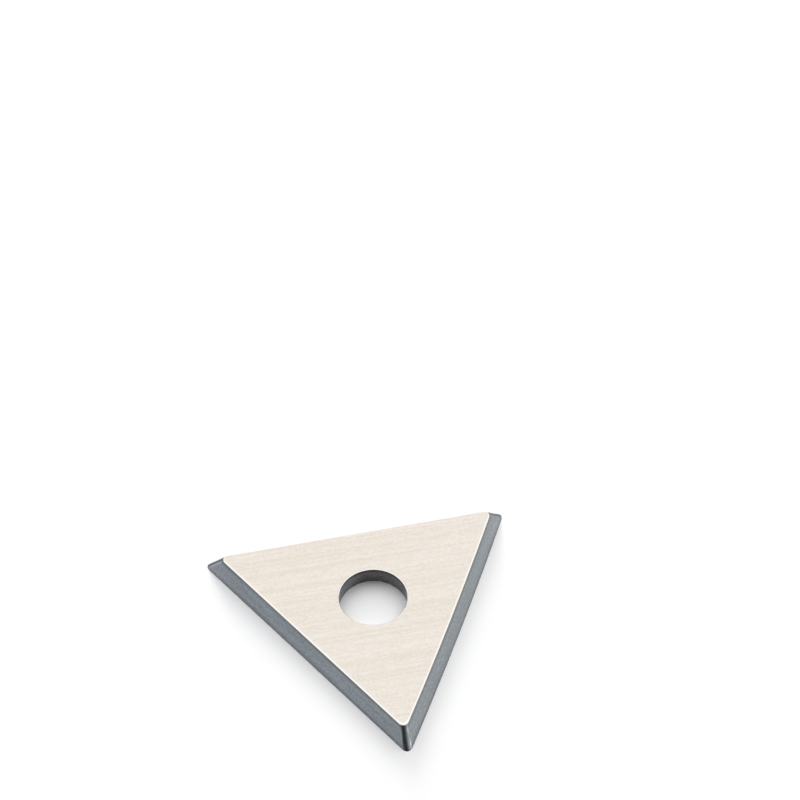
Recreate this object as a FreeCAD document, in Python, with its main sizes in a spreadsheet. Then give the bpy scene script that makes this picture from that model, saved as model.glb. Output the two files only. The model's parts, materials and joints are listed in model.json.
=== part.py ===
import FreeCAD, Part
import Sketcher
import math
import os

# Triangular scraper blade: one solid plate of sintered tungsten carbide, ground on all its faces.
# Its large face is an equilateral triangle whose three sides are the cutting edges. The back and left
# ones are straight, and the right one is crowned a little, so that its corners don't dig in. A bevel is
# ground from each cutting edge up to the smaller face, the ridges where two bevels meet are rounded, and
# one plain hole in the middle takes the screw that clamps the blade to its holder.
#
# Millimetres, +Z up. The origin is on the axis of the screw hole, in the plane of the large face. The
# blade lies on that face, with one cutting edge across the back (+Y) and one corner to the front (-Y).

SIZES = {
    "blade_side": 25.0,  # side of the triangle round the large face, out to its sharp corners
    "blade_thickness": 1.55,  # from the large face to the small one
    "wedge_angle": 64.5,  # degrees of carbide at a cutting edge, between the large face and the bevel
    "crown_radius": 400.0,  # radius of the crowned edge, which falls back 0.2 mm at its ends
    "corner_radius": 0.5,  # round of the ridge between two bevels, from one face to the other
    "screw_hole_diameter": 5.4,  # clearance hole for a screw of 5 mm
    "face_edge_break": 0.05,  # honed chamfer where the bevels and corners meet the small face
    "hole_rim_break": 0.04,  # chamfer on both rims of the screw hole
}
EDGE_COUNT = 3
CROWNED_TURN = -120  # degrees round +Z from the back cutting edge to the crowned one, on the right
NODE_NAME = "scraper_blade"
SAME = 1e-6  # heights that differ by less than this are taken as equal
ALIKE = 1e-3  # volumes that differ by a smaller share than this are taken as equal


def make_sheet(doc):
    """Puts the driving sizes in a spreadsheet, one row each: its name, and its value under that alias."""
    sheet = doc.addObject("Spreadsheet::Sheet", "sizes")
    for row, (alias, value) in enumerate(SIZES.items(), start=1):
        sheet.set(f"A{row}", alias)
        sheet.set(f"B{row}", str(value))
        sheet.setAlias(f"B{row}", alias)
    doc.recompute()


def origin_feature(body, role):
    """Finds a plane or an axis of the body's own origin, such as XY_Plane or Z_Axis."""
    return next(item for item in body.Origin.OriginFeatures if item.Role == role)


def add_sketch(body, name, role):
    """Starts a sketch on one of the body's origin planes."""
    sketch = body.newObject("Sketcher::SketchObject", name)
    sketch.AttachmentSupport = [(origin_feature(body, role), "")]
    sketch.MapMode = "FlatFace"
    return sketch


def add_outline(sketch, corners):
    """Draws a closed outline of straight lines: line n runs from corner n to the next corner."""
    for number, corner in enumerate(corners):
        following = corners[(number + 1) % len(corners)]
        sketch.addGeometry(Part.LineSegment(FreeCAD.Vector(*corner, 0), FreeCAD.Vector(*following, 0)))
    for number in range(len(corners)):
        following = (number + 1) % len(corners)
        sketch.addConstraint(Sketcher.Constraint("Coincident", number, 2, following, 1))


def add_size(sketch, name, expression, *constraint):
    """Adds a named dimension to a sketch and ties it to the sheet."""
    number = sketch.addConstraint(Sketcher.Constraint(*constraint))
    sketch.renameConstraint(number, name)
    sketch.setExpression(f"Constraints.{name}", expression)


def add_blank(body):
    """The pressed blank: a triangular plate with upright sides and some stock to grind off them."""
    side = SIZES["blade_side"] + SIZES["blade_thickness"]
    back = side / (2 * math.sqrt(3))
    front = side / math.sqrt(3)
    sketch = add_sketch(body, "blank_outline", "XY_Plane")
    # Line 0 climbs from the front corner to the right one, line 1 is the back edge, line 2 returns.
    add_outline(sketch, [(0, -front), (side / 2, back), (-side / 2, back)])
    sketch.addConstraint(Sketcher.Constraint("Symmetric", 1, 1, 1, 2, -2))
    sketch.addConstraint(Sketcher.Constraint("Equal", 0, 1))
    sketch.addConstraint(Sketcher.Constraint("Equal", 1, 2))
    blank_side = "(sizes.blade_side + sizes.blade_thickness)"
    add_size(sketch, "side", blank_side, "DistanceX", 1, 2, 1, 1, side)
    add_size(sketch, "back_edge", f"{blank_side} / (2 * sqrt(3))", "DistanceY", -1, 1, 1, 1, back)

    blank = body.newObject("PartDesign::Pad", "blank")
    blank.Profile = sketch
    blank.setExpression("Length", "sizes.blade_thickness")
    body.Document.recompute()


def add_bevel_section(body, name):
    """The section of the wedge that is ground away on a cutting edge, drawn across the back edge."""
    back = SIZES["blade_side"] / (2 * math.sqrt(3))
    reach = SIZES["blade_thickness"]
    height = 2 * reach
    slope = height / math.tan(math.radians(SIZES["wedge_angle"]))
    # Line 0 is the bevel, and it starts on the cutting edge. The other lines stand clear of the blank.
    sketch = add_sketch(body, name, "YZ_Plane")
    add_outline(sketch, [(back, 0), (back - slope, height), (back + reach, height), (back + reach, 0)])
    sketch.addConstraint(Sketcher.Constraint("PointOnObject", 0, 1, -1))
    sketch.addConstraint(Sketcher.Constraint("Horizontal", 1))
    sketch.addConstraint(Sketcher.Constraint("Vertical", 2))
    sketch.addConstraint(Sketcher.Constraint("Horizontal", 3))
    add_size(sketch, "cutting_edge", "sizes.blade_side / (2 * sqrt(3))", "DistanceX", -1, 1, 0, 1, back)
    bevel_angle = math.radians(180 - SIZES["wedge_angle"])
    add_size(sketch, "bevel_angle", "(180 - sizes.wedge_angle) * 1 deg", "Angle", 0, bevel_angle)
    add_size(sketch, "height", "2 * sizes.blade_thickness", "DistanceY", 0, 1, 0, 2, height)
    add_size(sketch, "reach", "sizes.blade_thickness", "DistanceX", 0, 1, 3, 1, reach)
    return sketch


def add_straight_bevels(body):
    """Grinds the back side to its bevel in a straight pass, then repeats that cut for the left side."""
    bevel = body.newObject("PartDesign::Pocket", "back_bevel")
    bevel.Profile = add_bevel_section(body, "straight_bevel_section")
    bevel.Type = "ThroughAll"
    bevel.SideType = "Symmetric"
    body.Document.recompute()

    bevels = body.newObject("PartDesign::PolarPattern", "straight_bevels")
    bevels.Originals = [bevel]
    bevels.Axis = (origin_feature(body, "Z_Axis"), [""])
    bevels.Angle = 360 / EDGE_COUNT
    bevels.Occurrences = EDGE_COUNT - 1
    body.Tip = bevels
    body.Document.recompute()


def add_crowned_bevel(body):
    """Grinds the right side with the same section, swung about an upright axis a crown radius away."""
    back = SIZES["blade_side"] / (2 * math.sqrt(3))
    radius = SIZES["crown_radius"]
    height = 2 * SIZES["blade_thickness"]
    sketch = add_bevel_section(body, "crowned_bevel_section")
    turn = FreeCAD.Rotation(FreeCAD.Vector(0, 1, 0), CROWNED_TURN)
    sketch.AttachmentOffset = FreeCAD.Placement(FreeCAD.Vector(), turn)
    foot = FreeCAD.Vector(back - radius, 0, 0)
    axis = sketch.addGeometry(Part.LineSegment(foot, foot + FreeCAD.Vector(0, height, 0)), True)
    sketch.addConstraint(Sketcher.Constraint("PointOnObject", axis, 1, -1))
    sketch.addConstraint(Sketcher.Constraint("Vertical", axis))
    add_size(sketch, "crown_radius", "sizes.crown_radius", "DistanceX", axis, 1, 0, 1, radius)
    add_size(sketch, "axis_height", "2 * sizes.blade_thickness", "DistanceY", axis, 1, axis, 2, height)

    bevel = body.newObject("PartDesign::Groove", "crowned_bevel")
    bevel.Profile = sketch
    bevel.ReferenceAxis = (sketch, ["Axis0"])
    bevel.Midplane = True
    bevel.setExpression("Angle", "2 * asin(sizes.blade_side / sizes.crown_radius)")
    body.Tip = bevel
    body.Document.recompute()
    expect_volume(bevel, bevelled_volume())
    return bevel


def bevelled_volume():
    """Volume of the plate with its three bevels, before its ridges are rounded."""
    side = SIZES["blade_side"]
    thickness = SIZES["blade_thickness"]
    small_side = side - 2 * math.sqrt(3) * thickness / math.tan(math.radians(SIZES["wedge_angle"]))
    straight = thickness * math.sqrt(3) / 12 * (side**2 + side * small_side + small_side**2)
    # The crown takes a sliver more. Its width grows with the square of the distance from the middle of
    # the edge, so at each level its area is the cube of the side there, over 24 radii.
    mean_cube = (side**4 - small_side**4) / (4 * (side - small_side))
    return straight - thickness * mean_cube / (24 * SIZES["crown_radius"])


def expect_volume(feature, volume):
    """Stops the build if a cut went the wrong way or missed."""
    found = feature.Shape.Volume
    if abs(found - volume) > ALIKE * volume:
        raise RuntimeError(f"{feature.Label} has {found:.4f} mm3, expected {volume:.4f} mm3")
    print(f"{feature.Label}: {found:.3f} mm3")


def climbing_edges(shape):
    """The edges that rise from one face to the other. Before the hole is cut they are the ridges."""
    names = []
    for number, edge in enumerate(shape.Edges, start=1):
        heights = [vertex.Z for vertex in edge.Vertexes]
        if max(heights) - min(heights) > SAME:
            names.append(f"Edge{number}")
    return names


def level_edges(shape, height, closed):
    """The edges that lie at one height, either the closed rims of the hole or the open outline."""
    names = []
    for number, edge in enumerate(shape.Edges, start=1):
        level = all(abs(vertex.Z - height) < SAME for vertex in edge.Vertexes)
        if level and edge.isClosed() == closed:
            names.append(f"Edge{number}")
    return names


def add_corner_rounding(body, bevels):
    """Rounds the three ridges, from the tip of each cutting edge up to the small face."""
    ridges = climbing_edges(bevels.Shape)
    if len(ridges) != EDGE_COUNT:
        raise RuntimeError(f"{len(ridges)} ridges found")
    rounding = body.newObject("PartDesign::Fillet", "corner_rounding")
    rounding.Base = (bevels, ridges)
    rounding.setExpression("Radius", "sizes.corner_radius")
    body.Tip = rounding
    body.Document.recompute()
    return rounding


def add_screw_hole(body, rounding):
    """Cuts the plain hole for the clamping screw, through the middle of the plate."""
    sketch = add_sketch(body, "screw_hole_outline", "XY_Plane")
    radius = SIZES["screw_hole_diameter"] / 2
    sketch.addGeometry(Part.Circle(FreeCAD.Vector(0, 0, 0), FreeCAD.Vector(0, 0, 1), radius))
    sketch.addConstraint(Sketcher.Constraint("Coincident", 0, 3, -1, 1))
    add_size(sketch, "hole_diameter", "sizes.screw_hole_diameter", "Diameter", 0, 2 * radius)

    hole = body.newObject("PartDesign::Pocket", "screw_hole")
    hole.Profile = sketch
    hole.Type = "ThroughAll"
    hole.SideType = "Symmetric"
    body.Tip = hole
    body.Document.recompute()
    core = math.pi * radius**2 * SIZES["blade_thickness"]
    expect_volume(hole, rounding.Shape.Volume - core)
    return hole


def add_edge_breaks(body, hole):
    """Hones the outline of the small face and both rims of the hole. The cutting edges stay sharp."""
    small_face = SIZES["blade_thickness"]
    outline = body.newObject("PartDesign::Chamfer", "small_face_break")
    outline.Base = (hole, level_edges(hole.Shape, small_face, closed=False))
    outline.setExpression("Size", "sizes.face_edge_break")
    body.Tip = outline
    body.Document.recompute()

    rims = body.newObject("PartDesign::Chamfer", "hole_rim_breaks")
    lower = level_edges(outline.Shape, 0, closed=True)
    upper = level_edges(outline.Shape, small_face, closed=True)
    rims.Base = (outline, lower + upper)
    rims.setExpression("Size", "sizes.hole_rim_break")
    body.Tip = rims
    body.Document.recompute()


def make_blade(doc):
    """Builds the blade in the order in which it is made: blank, bevels, corners, hole and edge breaks."""
    body = doc.addObject("PartDesign::Body", NODE_NAME)
    body.Label = NODE_NAME
    add_blank(body)
    add_straight_bevels(body)
    bevels = add_crowned_bevel(body)
    rounding = add_corner_rounding(body, bevels)
    hole = add_screw_hole(body, rounding)
    add_edge_breaks(body, hole)
    return body


def check_document(doc, bodies):
    """Stops before anything is written if a feature failed or a body isn't one sound solid."""
    for item in doc.Objects:
        if "Invalid" in item.State or "Error" in item.State:
            raise RuntimeError(f"{item.Label} failed: {item.State}")
    for body in bodies:
        shape = body.Shape
        if shape.isNull() or not shape.isValid() or len(shape.Solids) != 1:
            raise RuntimeError(f"{body.Label} has no sound solid")


def write_parts(bodies):
    """Writes each body to a STEP file of its own, named for the body."""
    os.makedirs("parts", exist_ok=True)
    for body in bodies:
        body.Shape.exportStep(f"parts/{body.Label}.step")
        box = body.Shape.optimalBoundingBox(False, False)
        print(f"{body.Label}: {body.Shape.Volume:.3f} mm3, {len(body.Shape.Faces)} faces")
        print(f"  x {box.XMin:.3f} to {box.XMax:.3f}, y {box.YMin:.3f} to {box.YMax:.3f}, z to {box.ZMax:.3f}")


document = FreeCAD.newDocument("triangular_scraper_blade")
make_sheet(document)
blades = [make_blade(document)]
check_document(document, blades)
write_parts(blades)
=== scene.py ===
# %% [markdown]
# # A triangular scraper blade, finished in Blender
#
# The blade is one plate of sintered tungsten carbide. Its shape comes from the imported model and stays as
# it is. What Blender adds is the finish: faces ground on a surface grinder, bevels lapped on a diamond
# wheel, ridges rounded and polished, and a hole left as it came out of the sintering furnace. The lesson
# goes from the picture to the metal: camera, white studio, lamps and cards first, then one finish at a
# time. We start by loading the model, with a function that takes its box.

# %% Load the imported model
import bpy
import json
import math
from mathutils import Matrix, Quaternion, Vector


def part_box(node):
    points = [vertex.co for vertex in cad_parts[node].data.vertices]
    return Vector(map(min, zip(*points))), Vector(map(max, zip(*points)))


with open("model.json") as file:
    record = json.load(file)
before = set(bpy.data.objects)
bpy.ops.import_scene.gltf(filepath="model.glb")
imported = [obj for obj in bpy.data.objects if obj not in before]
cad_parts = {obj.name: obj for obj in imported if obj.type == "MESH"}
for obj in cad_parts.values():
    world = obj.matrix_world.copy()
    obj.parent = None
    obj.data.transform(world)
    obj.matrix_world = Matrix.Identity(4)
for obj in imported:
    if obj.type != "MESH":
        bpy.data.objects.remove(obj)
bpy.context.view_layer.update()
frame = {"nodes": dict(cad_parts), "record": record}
BLADE = "scraper_blade"
blade = frame["nodes"][BLADE]

# %% [markdown]
# ## Sizes
#
# The finishes below need the real sizes of the blade. They could be typed in again, but a number that is
# written twice goes wrong sooner or later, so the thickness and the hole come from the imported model. It is
# in metres, and the material works in millimetres, which suit the size of a grinding mark. Three sizes
# aren't written in the model, and they are given here as the blade was drawn.

# %% Sizes of the blade
MM = 0.001
SIDE_MM = 25.0
WEDGE_ANGLE = math.radians(64.5)
CROWN_RADIUS_MM = 400.0
thickness_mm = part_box(BLADE)[1].z / MM
screw_hole = next(mount for mount in frame["record"]["mounts"] if mount["name"] == "screw_hole")
hole_radius_mm = screw_hole["dims"]["r_mm"]
print(f"thickness {thickness_mm:.2f} mm, hole radius {hole_radius_mm:.2f} mm")

# %% [markdown]
# ## Camera
#
# A product photographer stands back and uses a long lens, so that the sides of the triangle hardly
# converge. The camera looks at the middle of the hole from a known direction and distance, rolled a
# little, and is then turned until that point lands where the picture has it, low and left of the centre.
# Turning the camera keeps the lens centred, where shifting the lens would not. Blender leaves out what is
# nearer than a tenth of a metre, which is a lot beside a blade, so the near limit is set much lower.

# %% Place the camera
PICTURE_PIXELS = 800
SENSOR_MM = 36.0
LENS_MM = 141.1
CAMERA_AZIMUTH = math.radians(-9.98)
CAMERA_ELEVATION = math.radians(53.56)
CAMERA_ROLL = math.radians(-1.855)
CAMERA_DISTANCE = 249.07 * MM
NEAR_LIMIT = 2.5 * MM
HOLE_PIXEL = (373.46, 608.43)


def direction(azimuth, elevation):
    """A unit vector: azimuth 0 points to the front, and 90 degrees to the right."""
    flat = math.cos(elevation)
    return Vector((math.sin(azimuth) * flat, -math.cos(azimuth) * flat, math.sin(elevation)))


def place_camera():
    """Makes the camera, aims it at the hole and turns it until the hole is at its pixel."""
    back = direction(CAMERA_AZIMUTH, CAMERA_ELEVATION)
    aimed = back.to_track_quat("Z", "Y") @ Quaternion((0, 0, 1), CAMERA_ROLL)
    middle = PICTURE_PIXELS / 2
    lens_pixels = LENS_MM / SENSOR_MM * PICTURE_PIXELS
    towards_hole = Vector((HOLE_PIXEL[0] - middle, middle - HOLE_PIXEL[1], -lens_pixels))
    turn = Vector((0, 0, -1)).rotation_difference(towards_hole)
    rotation = (aimed @ turn.inverted()).to_euler()
    bpy.ops.object.camera_add(location=back * CAMERA_DISTANCE, rotation=rotation)
    camera = bpy.context.object
    camera.data.lens = LENS_MM
    camera.data.sensor_width = SENSOR_MM
    camera.data.clip_start = NEAR_LIMIT
    bpy.context.scene.camera = camera
    print("camera at", [round(value / MM, 1) for value in camera.location], "mm")


place_camera()

# %% [markdown]
# ## Two helpers for shaders
#
# Colours are easiest to compare with a picture as sRGB hex values, but shaders work in linear light, so
# one function turns the first into the second. Node trees are long because every number needs three lines:
# add the node, set it, link it. The other function does all three. An input can be a plain value, one
# socket, or another node, whose first output in use is then taken.

# %% Colour and node helpers


def linear(hex_colour):
    """Turns an sRGB hex value to linear red, green and blue, with full cover."""
    levels = [int(hex_colour[start:start + 2], 16) / 255 for start in (0, 2, 4)]
    colour = [level / 12.92 if level <= 0.04045 else ((level + 0.055) / 1.055) ** 2.4 for level in levels]
    return (*colour, 1.0)


def add_node(tree, kind, inputs, **settings):
    """Adds a node with its settings, and fills or links its inputs, by name or by number."""
    node = tree.nodes.new("ShaderNode" + kind)
    for name, value in settings.items():
        setattr(node, name, value)
    in_use = [socket for socket in node.inputs if socket.enabled]
    sockets = dict(enumerate(in_use)) | {socket.name: socket for socket in in_use}
    for key, value in inputs.items():
        if isinstance(value, bpy.types.Node):
            value = next(output for output in value.outputs if output.enabled)
        if isinstance(value, bpy.types.NodeSocket):
            tree.links.new(value, sockets[key])
        else:
            sockets[key].default_value = value
    return node


print("mid grey 808080 is", round(linear("808080")[0], 3), "in linear light")

# %% [markdown]
# ## White room
#
# In the picture the blade stands in plain white. A white room could simply light everything, but then the
# shadow would wash out. Light Path tells the rays apart: the room is white for the camera and for what the
# metal mirrors, while the rays that light dull surfaces find hardly any sky.

# %% World
ROOM_WHITE = 1.0
SKY_LIGHT = 0.04
SKY_COLOUR = "F1F2FF"


def seen_or_mirrored(tree):
    """1 for rays from the camera, from gloss and through glass, and 0 for the rest."""
    path = add_node(tree, "LightPath", {})
    shown = add_node(tree, "Math", {0: path.outputs["Is Camera Ray"], 1: path.outputs["Is Glossy Ray"]},
                     operation="MAXIMUM")
    return add_node(tree, "Math", {0: shown, 1: path.outputs["Is Transmission Ray"]}, operation="MAXIMUM")


def light_world():
    """A white room for the camera and for reflections, and a dimmer, cooler sky for the dull surfaces."""
    world = bpy.data.worlds.new("white_studio")
    world.use_nodes = True
    bpy.context.scene.world = world
    tree = world.node_tree
    tree.nodes.clear()
    sky = add_node(tree, "Background", {"Color": linear(SKY_COLOUR), "Strength": SKY_LIGHT})
    room = add_node(tree, "Background", {"Color": linear("FFFFFF"), "Strength": ROOM_WHITE})
    choice = add_node(tree, "MixShader", {0: seen_or_mirrored(tree), 1: sky, 2: room})
    add_node(tree, "OutputWorld", {"Surface": choice})
    print("world:", world.name, "with", len(tree.nodes), "nodes")


light_world()

# %% [markdown]
# ## Floor
#
# The floor is a sheet of matt white paper, so large that its end is never seen. It lies a hair below the
# blade, because two surfaces in one plane flicker. It is pure white where it is seen, and as white as real
# paper where it throws light back at the blade. It is a real surface, so it keeps the shadow.

# %% Floor
FLOOR_SIDE = 4000 * MM
FLOOR_DROP = 0.005 * MM
SEEN_PAPER = "FFFFFF"
LIT_PAPER = "F4F4F4"


def lay_floor():
    """A white floor that keeps the shadow."""
    bpy.ops.mesh.primitive_plane_add(size=FLOOR_SIDE, location=(0, 0, -FLOOR_DROP))
    floor = bpy.context.object
    floor.name = "white_floor"
    material = bpy.data.materials.new("matt_white_paper")
    material.use_nodes = True
    tree = material.node_tree
    tree.nodes.clear()
    lit = add_node(tree, "BsdfDiffuse", {"Color": linear(LIT_PAPER)})
    seen = add_node(tree, "BsdfDiffuse", {"Color": linear(SEEN_PAPER)})
    choice = add_node(tree, "MixShader", {0: seen_or_mirrored(tree), 1: lit, 2: seen})
    add_node(tree, "OutputMaterial", {"Surface": choice})
    floor.data.materials.append(material)
    print("floor:", FLOOR_SIDE, "m wide,", FLOOR_DROP / MM, "mm below the blade")


lay_floor()

# %% [markdown]
# ## Lamps
#
# The shadow in the picture tells where the light comes from. It is soft all round, it falls to the front,
# and it reaches twice the height of the blade there. That takes a very broad lamp high up behind, and a
# little light from low down behind it. Sun lamps are used, because their light doesn't fade across the
# floor. The metal doesn't mirror the lamps, it mirrors the white room.

# %% Lamps
LAMPS = {
    "softbox": {"azimuth": 168, "elevation": 58, "width": 84, "strength": 3.16},
    "low_window": {"azimuth": 179, "elevation": 17, "width": 20, "strength": 1.42},
}


def hang_lamp(name, azimuth, elevation, width, strength):
    """A lamp far away, seen from the blade at these angles and as wide as this, in degrees."""
    towards = direction(math.radians(azimuth), math.radians(elevation))
    bpy.ops.object.light_add(type="SUN", rotation=towards.to_track_quat("Z", "Y").to_euler())
    lamp = bpy.context.object
    lamp.name = name
    lamp.data.angle = math.radians(width)
    lamp.data.energy = strength
    lamp.visible_glossy = False
    print("lamp:", name, "at", azimuth, "and", elevation, "degrees")


for name, settings in LAMPS.items():
    hang_lamp(name, **settings)

# %% [markdown]
# ## Cards for the metal to mirror
#
# In a room that is white all over, polished metal looks like plain grey paint. Photographers stand cards
# next to it: a black one gives a dark line, and a bright strip gives a glint. Here a small black card in
# front of the blade draws the line down the rounded ridge, and a strip to the right lights its edge. The
# black card pales towards its ends, as a curved one would, and places on a card are counted as shares of
# its length from the middle. Only mirrored rays find the cards, so they throw no shadow and don't show.

# %% Cards
CARDS = {
    "black_card": {"centre_mm": (-2.0, -17.4, 3.2), "size_mm": (16.0, 4.2), "middle": 0.1, "ends": 0.85},
    "bright_strip": {"centre_mm": (6.3, -16.4, 2.0), "size_mm": (1.2, 3.4), "middle": 2.6, "ends": 2.6},
}
CARDS_FACE_MM = (0.0, -13.5, 0.75)
PALES_FROM = 0.05
CARD_END = 0.5


def stand_card(name, centre_mm, size_mm, middle, ends):
    """A flat card turned to the front ridge, with its brightness in the middle and at both ends."""
    centre = Vector(centre_mm) * MM
    towards = Vector(CARDS_FACE_MM) * MM - centre
    rotation = towards.to_track_quat("Z", "Y").to_euler()
    bpy.ops.mesh.primitive_plane_add(size=1, location=centre, rotation=rotation)
    card = bpy.context.object
    card.name = name
    card.scale = (size_mm[0] * MM, size_mm[1] * MM, 1)
    card.visible_camera = False
    card.visible_diffuse = False
    card.visible_transmission = False
    card.visible_shadow = False
    material = bpy.data.materials.new(name)
    material.use_nodes = True
    tree = material.node_tree
    tree.nodes.clear()
    place = add_node(tree, "TexCoord", {})
    across = add_node(tree, "SeparateXYZ", {"Vector": place.outputs["Object"]})
    off_middle = add_node(tree, "Math", {0: across.outputs["X"]}, operation="ABSOLUTE")
    strength = add_node(tree, "MapRange", {"Value": off_middle, "From Min": PALES_FROM,
                                           "From Max": CARD_END, "To Min": middle, "To Max": ends},
                        interpolation_type="SMOOTHSTEP")
    shine = add_node(tree, "Emission", {"Strength": strength})
    add_node(tree, "OutputMaterial", {"Surface": shine})
    card.data.materials.append(material)
    print("card:", name, "is", size_mm, "mm")


for name, settings in CARDS.items():
    stand_card(name, **settings)

# %% [markdown]
# ## The metal
#
# The material is sintered tungsten carbide with a few percent of cobalt: a grey metal, a little bluer and
# darker than steel, and very hard. Ground fine, it looks pale and satin, lapped it looks dark grey, and as
# it was sintered it is dull. It is one piece, so it gets one material, and masks say where each operation
# has been. The material starts with the two things that every mask and pattern below asks for: the place
# of a spot, in millimetres, and the way that the surface points there.

# %% Start the material
carbide = bpy.data.materials.new("ground_tungsten_carbide")
carbide.use_nodes = True
metal = carbide.node_tree
metal.nodes.clear()
place = add_node(metal, "TexCoord", {})
normal = place.outputs["Normal"]
spot_mm = add_node(metal, "VectorMath", {"Vector": place.outputs["Object"], "Scale": 1 / MM},
                   operation="SCALE")
spot = add_node(metal, "SeparateXYZ", {"Vector": spot_mm})
lean = add_node(metal, "SeparateXYZ", {"Vector": normal})
height = spot.outputs["Z"]
print("material:", carbide.name)

# %% [markdown]
# ## Where the flat and the round parts are
#
# A face points straight up or down, and the small chamfer that breaks its edge leans a little. The hole is
# what lies near the axis. A greater-than test on such a number makes a mask with a sharp border, which is
# right here because the edges of the solid are just as sharp.

# %% Masks for the faces, the hole and the broken edges
FACE_LEVEL = 0.95
BREAK_LEVEL = 0.75
RIM_LEVEL = 0.4
HOLE_REACH_MM = 0.3

level = add_node(metal, "Math", {0: lean.outputs["Z"]}, operation="ABSOLUTE")
on_face = add_node(metal, "Math", {0: level, 1: FACE_LEVEL}, operation="GREATER_THAN")
flat_spot = add_node(metal, "VectorMath", {0: spot_mm, 1: (1, 1, 0)}, operation="MULTIPLY")
from_axis = add_node(metal, "VectorMath", {0: flat_spot}, operation="LENGTH")
in_hole = add_node(metal, "Math", {0: from_axis, 1: hole_radius_mm + HOLE_REACH_MM},
                   operation="LESS_THAN")
leans_a_little = add_node(metal, "Math", {0: level, 1: BREAK_LEVEL}, operation="GREATER_THAN")
leans_at_all = add_node(metal, "Math", {0: level, 1: RIM_LEVEL}, operation="GREATER_THAN")
on_rim = add_node(metal, "Math", {0: in_hole, 1: leans_at_all}, operation="MULTIPLY")
on_break = add_node(metal, "Math", {0: on_rim, 1: leans_a_little}, operation="MAXIMUM")
print("a face points up by more than", FACE_LEVEL, "and a broken edge by more than", BREAK_LEVEL)

# %% [markdown]
# ## Where the rounded ridges are
#
# A bevel points one way all over, and a ridge turns from one bevel's way to the next. The dot product of
# two unit vectors says how alike they are, so the largest of three dot products is 1 on a bevel and falls
# off along the round of a ridge. The loop starts at 0, no likeness at all, and takes in one bevel after the
# other. Smoothstep then gives the mask a soft border, as a polished round has.

# %% Mask for the ridges
EDGE_COUNT = 3
LEFT_BEVEL = 1
RIGHT_BEVEL = 2
QUARTER_TURN = math.tau / 4
BEVEL_LIKENESS = 0.995
RIDGE_LIKENESS = 0.93


def bevel_direction(number, angle):
    """The outward direction of one bevel at this angle from upright, counted round from the back one."""
    turn = QUARTER_TURN + number * math.tau / EDGE_COUNT
    return (math.cos(turn) * math.sin(angle), math.sin(turn) * math.sin(angle), math.cos(angle))


likeness = 0.0
for number in range(EDGE_COUNT):
    bevel = bevel_direction(number, WEDGE_ANGLE)
    alike = add_node(metal, "VectorMath", {0: normal, 1: bevel}, operation="DOT_PRODUCT")
    likeness = add_node(metal, "Math", {0: likeness, 1: alike}, operation="MAXIMUM")
    print("bevel", number, "points to", [round(part, 3) for part in bevel])
on_ridge = add_node(metal, "MapRange", {"Value": likeness, "From Min": BEVEL_LIKENESS,
                                        "From Max": RIDGE_LIKENESS}, interpolation_type="SMOOTHSTEP")

# %% [markdown]
# ## Grinding marks
#
# A surface grinder leaves fine parallel scratches, long in the direction of travel and a few hundredths of
# a millimetre apart, with short ones and torn-out grains between them. An image could carry them, but noise
# that is stretched one way looks the same from near and far and can't show a seam. Scratches that fine
# would be lost in the picture, so they are drawn about four times as wide as they are. Noise stays near its
# middle, so MapRange stretches the part of its range that it really uses.

# %% Marks on the faces
GRIND_TURN = math.radians(1.0)
LONG_SCRATCH_MM = (18.0, 0.26, 5.0)
SHORT_SCRATCH_MM = (0.9, 0.2, 5.0)
TORN_GRAIN_MM = (0.22, 0.2, 0.3)
SHORT_SHARE = 0.4
GRAIN_SHARE = 0.42


def wheel_marks(places_mm, mark_mm, turn=0.0, detail=1.0, fineness=0.5):
    """A pattern of marks as long, wide and deep as mark_mm says, turned about Z, with finer layers in it."""
    turned = add_node(metal, "Mapping", {"Vector": places_mm, "Rotation": (0, 0, turn)})
    cells = add_node(metal, "Mapping", {"Vector": turned, "Scale": [1 / size for size in mark_mm]})
    return add_node(metal, "TexNoise", {"Vector": cells, "Scale": 1, "Detail": detail,
                                        "Roughness": fineness})


long_scratches = wheel_marks(spot_mm, LONG_SCRATCH_MM, GRIND_TURN)
short_scratches = wheel_marks(spot_mm, SHORT_SCRATCH_MM, GRIND_TURN)
torn_grains = wheel_marks(spot_mm, TORN_GRAIN_MM, GRIND_TURN)
scratches = add_node(metal, "Mix", {"Factor": SHORT_SHARE, "A": long_scratches, "B": short_scratches})
face_marks = add_node(metal, "Mix", {"Factor": GRAIN_SHARE, "A": scratches, "B": torn_grains})
print("long scratches:", LONG_SCRATCH_MM[0], "by", LONG_SCRATCH_MM[1], "mm")

# %% [markdown]
# ## A finish, and how one lies over another
#
# A finish is a colour, a roughness and a relief of marks. Each one is kept as a small dictionary, so that
# it can be read on its own. Real finishes cover each other in the order in which the work is done, and so do
# these: one function lays a finish over another through a mask. The faces come first. They are pale and
# warm, because the fine grinding scatters the white room, and the marks make them lighter and rougher in
# one place than in the next.

# %% Finish of the ground faces
FINISH_PARTS = {"colour": "RGBA", "roughness": "FLOAT", "marks": "FLOAT"}
FACE_LIGHT = "F4EEE6"
FACE_DARK = "E8DED1"
FACE_MARKS_RANGE = (0.36, 0.64)
FACE_ROUGHNESS = (0.34, 0.46)


def lay_over(below, above, mask):
    """Lays one finish over another where the mask is 1, and blends them where it is in between."""
    finish = {}
    for part, data_type in FINISH_PARTS.items():
        parts = {"Factor": mask, "A": below[part], "B": above[part]}
        finish[part] = add_node(metal, "Mix", parts, data_type=data_type)
    return finish


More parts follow.
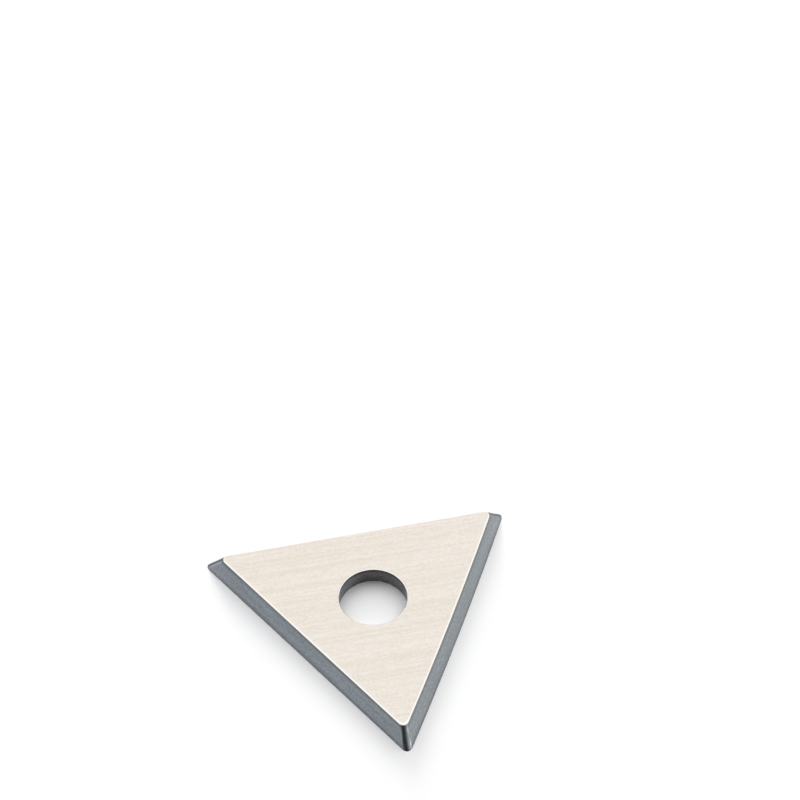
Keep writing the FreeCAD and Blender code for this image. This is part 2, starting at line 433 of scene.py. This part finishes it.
face_tone = add_node(metal, "MapRange", {"Value": face_marks, "From Min": FACE_MARKS_RANGE[0],
                                         "From Max": FACE_MARKS_RANGE[1]})
faces = {
    "colour": add_node(metal, "Mix", {"Factor": face_tone, "A": linear(FACE_DARK), "B": linear(FACE_LIGHT)},
                       data_type="RGBA"),
    "roughness": add_node(metal, "Mix", {"Factor": face_tone, "A": FACE_ROUGHNESS[0],
                                         "B": FACE_ROUGHNESS[1]}),
    "marks": face_marks,
}
print("faces go from", FACE_DARK, "to", FACE_LIGHT)

# %% [markdown]
# ## Marks on the bevels
#
# The bevels are lapped on a fine diamond wheel, which leaves a fine speckle, and faint streaks along the
# cutting edge. The grit of such a wheel is a few hundredths of a millimetre, so the speckle is drawn at
# 0.1 mm, as coarse as it needs to be to show. Noise of one size looks like worms, and strong finer layers in
# it turn it into grain. The streaks need a coordinate that runs along each bevel. The cross product of "up"
# and the normal is that direction, whichever way the bevel faces, so one pattern serves all three.

# %% Marks on the bevels
BEVEL_STREAK_MM = (6.0, 0.2, 0.1)
BEVEL_GRAIN_MM = (0.17, 0.12, 0.1)
BEVEL_GRAIN_DETAIL = 4.0
BEVEL_GRAIN_FINENESS = 0.75
BEVEL_GRAIN_SHARE = 0.8

along = add_node(metal, "VectorMath", {0: (0, 0, 1), 1: normal}, operation="CROSS_PRODUCT")
along = add_node(metal, "VectorMath", {0: along}, operation="NORMALIZE")
along_mm = add_node(metal, "VectorMath", {0: spot_mm, 1: along}, operation="DOT_PRODUCT")
bevel_spot = add_node(metal, "CombineXYZ", {"X": along_mm, "Y": height, "Z": lean.outputs["X"]})
bevel_streaks = wheel_marks(bevel_spot, BEVEL_STREAK_MM)
bevel_grain = wheel_marks(bevel_spot, BEVEL_GRAIN_MM, detail=BEVEL_GRAIN_DETAIL,
                          fineness=BEVEL_GRAIN_FINENESS)
bevel_marks = add_node(metal, "Mix", {"Factor": BEVEL_GRAIN_SHARE, "A": bevel_streaks, "B": bevel_grain})
print("bevel streaks:", BEVEL_STREAK_MM[0], "by", BEVEL_STREAK_MM[1], "mm, speckle:", BEVEL_GRAIN_MM[0],
      "by", BEVEL_GRAIN_MM[1], "mm")

# %% [markdown]
# ## Finish of the lapped bevels
#
# Lapped carbide looks like what it is, a dark grey metal that mirrors the room softly. The left bevel faces
# away from the lamp and is a little darker than the right one. The metal doesn't mirror the lamps, so this
# is
# painted shade: each shade is given for both sides, and the way that the surface faces along X blends them.
# The lower part of a bevel mirrors the floor's shadow, and it is painted paler there as painted light.

# %% Finish of the bevels
BEVEL_MARKS_RANGE = (0.39, 0.61)
# Each shade has a left and a right value: painted shade, the left bevel darker than the right one.
BEVEL_DARK = {"left": "70777C", "right": "82878B"}
BEVEL_LIGHT = {"left": "8F959B", "right": "A1A6A9"}
LOW_PAINTED_LIGHT_MM = (1.0, 0.3)
LOW_PAINTED_LIGHT_TONE = 0.17
BEVEL_ROUGHNESS = 0.3

side_lean = bevel_direction(RIGHT_BEVEL, WEDGE_ANGLE)[0]
rightness = add_node(metal, "MapRange", {"Value": lean.outputs["X"], "From Min": -side_lean,
                                         "From Max": side_lean})


def painted_shade_by_side(shades):
    """A colour from the left shade to the right one by the way the surface faces: painted shade of the lamp.
    """
    return add_node(metal, "Mix", {"Factor": rightness, "A": linear(shades["left"]),
                                   "B": linear(shades["right"])}, data_type="RGBA")


marks_tone = add_node(metal, "MapRange", {"Value": bevel_marks, "From Min": BEVEL_MARKS_RANGE[0],
                                          "From Max": BEVEL_MARKS_RANGE[1]})
# Painted light: the lower part of each bevel is painted paler, against the floor's shadow that it mirrors.
low_painted_light = add_node(metal, "MapRange", {"Value": height, "From Min": LOW_PAINTED_LIGHT_MM[0],
                                         "From Max": LOW_PAINTED_LIGHT_MM[1], "To Max": LOW_PAINTED_LIGHT_TONE},
                     interpolation_type="SMOOTHSTEP")
bevel_tone = add_node(metal, "Math", {0: marks_tone, 1: low_painted_light}, operation="ADD")
bevels = {
    "colour": add_node(metal, "Mix", {"Factor": bevel_tone, "A": painted_shade_by_side(BEVEL_DARK),
                                      "B": painted_shade_by_side(BEVEL_LIGHT)}, data_type="RGBA"),
    "roughness": BEVEL_ROUGHNESS,
    "marks": bevel_marks,
}
print(f"the side bevels face {side_lean:.2f} along X, and the painted paler part starts {LOW_PAINTED_LIGHT_MM[0]} mm up")

# %% [markdown]
# ## Finish of the ridges
#
# A ridge is rounded by hand on the wheel and polished, so it has no streaks and mirrors more sharply than
# a bevel does. Its marks have the middle height all over. At the front the black card draws its dark line.
# At the two back corners no card can stand where the round would mirror it, because that place is the
# floor. There a dark line is painted into the metal's colour along the middle of the round, a painted
# reflection placed by the way it faces along Y, and beside it the round is painted paler as a painted
# highlight.

# %% Ridges
# Ridge shades are painted: shade by side, a painted highlight at the back and a dark painted reflection
# line.
RIDGE_FRONT = {"left": "81878C", "right": "92979A"}
RIDGE_BACK_PAINTED_HIGHLIGHT = {"left": "9AA0A6", "right": "8C9195"}
RIDGE_PAINTED_REFLECTION = {"left": "4A4E51", "right": "16181A"}
TOWARDS_BACK = (-0.44, -0.2)
PAINTED_REFLECTION_STARTS = (-0.1, 0.25)
PAINTED_REFLECTION_ENDS = (0.9, 0.66)
RIDGE_ROUGHNESS = 0.12
NO_MARKS = 0.5


def polished(shades):
    """The finish of a ridge in these shades, smooth and without marks."""
    return {"colour": painted_shade_by_side(shades), "roughness": RIDGE_ROUGHNESS, "marks": NO_MARKS}


to_back, past_start, before_end = [
    add_node(metal, "MapRange", {"Value": lean.outputs["Y"], "From Min": start, "From Max": end},
             interpolation_type="SMOOTHSTEP")
    for start, end in (TOWARDS_BACK, PAINTED_REFLECTION_STARTS, PAINTED_REFLECTION_ENDS)]
in_painted_reflection = add_node(metal, "Math", {0: past_start, 1: before_end}, operation="MINIMUM")
ridges = lay_over(polished(RIDGE_FRONT), polished(RIDGE_BACK_PAINTED_HIGHLIGHT), to_back)
ridges = lay_over(ridges, polished(RIDGE_PAINTED_REFLECTION), in_painted_reflection)
print("a back ridge is dark where it faces", PAINTED_REFLECTION_STARTS[1], "to", PAINTED_REFLECTION_ENDS[1], "along Y")

# %% [markdown]
# ## Painted dark lines along the bevels
#
# A thin dark line borders each bevel just under the small face, and a fainter one runs along the cutting
# edge. The wheel leaves the metal brightest there, and in the picture it mirrors something dark. A room
# A room that is white all round holds nothing dark for it, and one card can't serve every edge, so both
# lines are painted reflections: the metal's own colour is made darker there. The height above the large
# face, in millimetres, places both lines: each grows from nothing at the first height to its full share at
# the second.

# %% Border lines
# Painted reflection: both lines are darker colour painted into the metal.
PAINTED_EDGE_REFLECTION_COLOUR = "4E5255"
UPPER_PAINTED_REFLECTION = {"From Min": 1.18, "From Max": 1.42, "To Max": 0.46}
LOWER_PAINTED_REFLECTION = {"From Min": 0.36, "From Max": 0.06, "To Max": 0.3}

upper_painted_reflection, lower_painted_reflection = [
    add_node(metal, "MapRange", {"Value": height, **reach}, interpolation_type="SMOOTHSTEP")
    for reach in (UPPER_PAINTED_REFLECTION, LOWER_PAINTED_REFLECTION)]
on_painted_edge_reflection = add_node(metal, "Math", {0: upper_painted_reflection, 1: lower_painted_reflection}, operation="MAXIMUM")
painted_edge_reflections = {"colour": linear(PAINTED_EDGE_REFLECTION_COLOUR), "roughness": BEVEL_ROUGHNESS, "marks": NO_MARKS}
print("upper line from", UPPER_PAINTED_REFLECTION["From Min"], "mm, lower line up to", LOWER_PAINTED_REFLECTION["From Min"], "mm")

# %% [markdown]
# ## Finish of the hole
#
# Nobody grinds the hole. It stays as it came out of the furnace: dull, dark and slightly grainy. The grains
# of carbide are microns across, so they are drawn at 0.16 mm, as coarse as they need to be to show. The
# wall is paler at the sides, and more so at the left, which faces the light from the back right. The metal
# mirrors only the room and not the lamps, so that difference is painted light in the wall's colour, by the
# way it faces. Just under the rim a painted shade makes it darkest, because little of what lights the hole
# gets there.

# %% Hole
# The side shades of the wall are painted light, and the shade under the rim is painted shade.
HOLE_BACK = ("595756", "787675")
HOLE_SIDE_PAINTED_LIGHT = ("7D7E82", "9FA0A4")
HOLE_RIM_PAINTED_SHADE = ("2C2B2A", "3C3B3A")
HOLE_GRAIN_MM = (0.16, 0.16, 0.16)
HOLE_GRAIN_DETAIL = 2.0
HOLE_MARKS_RANGE = (0.3, 0.7)
HOLE_ROUGHNESS = 0.45
LEFT_WALL_PAINTED_LIGHT = {"From Min": 0.05, "From Max": 0.7, "To Max": 1.0}
RIGHT_WALL_PAINTED_LIGHT = {"From Min": -0.35, "From Max": -0.9, "To Max": 0.45}
RIM_PAINTED_SHADE_REACH = {"From Min": 1.12, "From Max": 1.4, "To Max": 0.75}

hole_marks = wheel_marks(spot_mm, HOLE_GRAIN_MM, detail=HOLE_GRAIN_DETAIL)
hole_tone = add_node(metal, "MapRange", {"Value": hole_marks, "From Min": HOLE_MARKS_RANGE[0],
                                         "From Max": HOLE_MARKS_RANGE[1]})


def sintered(shades):
    """The finish of the hole between these two shades, dull and grainy."""
    shade = add_node(metal, "Mix", {"Factor": hole_tone, "A": linear(shades[0]), "B": linear(shades[1])},
                     data_type="RGBA")
    return {"colour": shade, "roughness": HOLE_ROUGHNESS, "marks": hole_marks}


wall_parts = ((lean.outputs["X"], LEFT_WALL_PAINTED_LIGHT), (lean.outputs["X"], RIGHT_WALL_PAINTED_LIGHT), (height, RIM_PAINTED_SHADE_REACH))
left_painted_light, right_painted_light, rim_painted_shade = [
    add_node(metal, "MapRange", {"Value": value, **reach}, interpolation_type="SMOOTHSTEP")
    for value, reach in wall_parts]
on_painted_wall_light = add_node(metal, "Math", {0: left_painted_light, 1: right_painted_light}, operation="MAXIMUM")
hole = lay_over(sintered(HOLE_BACK), sintered(HOLE_SIDE_PAINTED_LIGHT), on_painted_wall_light)
hole = lay_over(hole, sintered(HOLE_RIM_PAINTED_SHADE), rim_painted_shade)
print("hole from", HOLE_BACK[0], "at the back to", HOLE_SIDE_PAINTED_LIGHT[1], "at the sides")

# %% [markdown]
# ## Finish of the broken edges
#
# The edges of the small face and the rims of the hole are honed by a few strokes of a fine stone, which
# leaves them smooth. Their colour is painted nearly white, a painted highlight, so that they show as a fine
# bright line.

# %% Broken edges
# Painted highlight: the broken edges are coloured nearly white.
EDGE_HIGHLIGHT_COLOUR = "FBF8F2"
EDGE_ROUGHNESS = 0.25

broken_edges_painted_highlight = {"colour": linear(EDGE_HIGHLIGHT_COLOUR), "roughness": EDGE_ROUGHNESS, "marks": NO_MARKS}
print("broken edges:", EDGE_HIGHLIGHT_COLOUR)

# %% [markdown]
# ## A painted pale border on the small face
#
# The face has a narrow pale border along its left and right sides, as the picture shows it, and here it is a
# painted highlight beside the broken edges. The mask needs the distance from the outline. For the
# straight left side that is a dot product, and for the crowned right side it is a distance from the middle
# of its circle. The smooth maximum of the two rounds the border at the front corner, as the outline is.

# %% Border of the small face
BORDER_MM = (-0.14, -0.07)
BORDER_ROUND_MM = 1.2
# Painted highlight: the pale colour of the border.
BORDER_HIGHLIGHT_COLOUR = "FFFDF8"

bevel_run_mm = thickness_mm / math.tan(WEDGE_ANGLE)
side_reach_mm = SIDE_MM / (2 * math.sqrt(3)) - bevel_run_mm
left_side = Vector(bevel_direction(LEFT_BEVEL, QUARTER_TURN))
right_side = Vector(bevel_direction(RIGHT_BEVEL, QUARTER_TURN))
crown_middle_mm = right_side * (side_reach_mm + bevel_run_mm - CROWN_RADIUS_MM)
left_reach = add_node(metal, "VectorMath", {0: flat_spot, 1: left_side}, operation="DOT_PRODUCT")
left_past = add_node(metal, "Math", {0: left_reach, 1: side_reach_mm}, operation="SUBTRACT")
right_reach = add_node(metal, "VectorMath", {0: flat_spot, 1: crown_middle_mm}, operation="DISTANCE")
right_past = add_node(metal, "Math", {0: right_reach, 1: CROWN_RADIUS_MM - bevel_run_mm},
                      operation="SUBTRACT")
past_outline = add_node(metal, "Math", {0: left_past, 1: right_past, 2: BORDER_ROUND_MM},
                        operation="SMOOTH_MAX")
on_painted_border = add_node(metal, "MapRange", {"Value": past_outline, "From Min": BORDER_MM[0],
                                         "From Max": BORDER_MM[1]})
painted_border_highlight = {"colour": linear(BORDER_HIGHLIGHT_COLOUR), "roughness": EDGE_ROUGHNESS, "marks": NO_MARKS}
print(f"bevels run in by {bevel_run_mm:.2f} mm, and the small face reaches {side_reach_mm:.2f} mm out")

# %% [markdown]
# ## Put the finishes together
#
# The order is the order of the work, from the bottom up: the bevels, the ridges between them, the dark
# border lines of painted reflection, the hole, the broken edges with their painted highlight and last the
# faces with their painted pale border. The marks also go into a Bump node, because a scratch is a groove and
# catches the light at its edge. It is only a few microns deep, so it is no shape that the model should have.
# Metallic is 1, since carbide is a metal to the eye: all its colour is in what it mirrors.

# %% Layers
LAYERS = ((ridges, on_ridge), (painted_edge_reflections, on_painted_edge_reflection), (hole, in_hole), (broken_edges_painted_highlight, on_break))
MARK_DEPTH_MM = 0.006

finish = bevels
for layer, mask in LAYERS:
    finish = lay_over(finish, layer, mask)
finish = lay_over(finish, lay_over(faces, painted_border_highlight, on_painted_border), on_face)
relief = add_node(metal, "Bump", {"Height": finish["marks"], "Distance": MARK_DEPTH_MM * MM})
shader = add_node(metal, "BsdfPrincipled", {"Base Color": finish["colour"], "Metallic": 1.0,
                                            "Roughness": finish["roughness"], "Normal": relief})
add_node(metal, "OutputMaterial", {"Surface": shader})
blade.data.materials[0] = carbide
print("material:", len(metal.nodes), "nodes on", blade.name)

# %% [markdown]
# ## Close the scene
#
# The Standard view shows colours as they are written, where others bend them like film.

# %% Close
bpy.context.scene.view_settings.view_transform = "Standard"
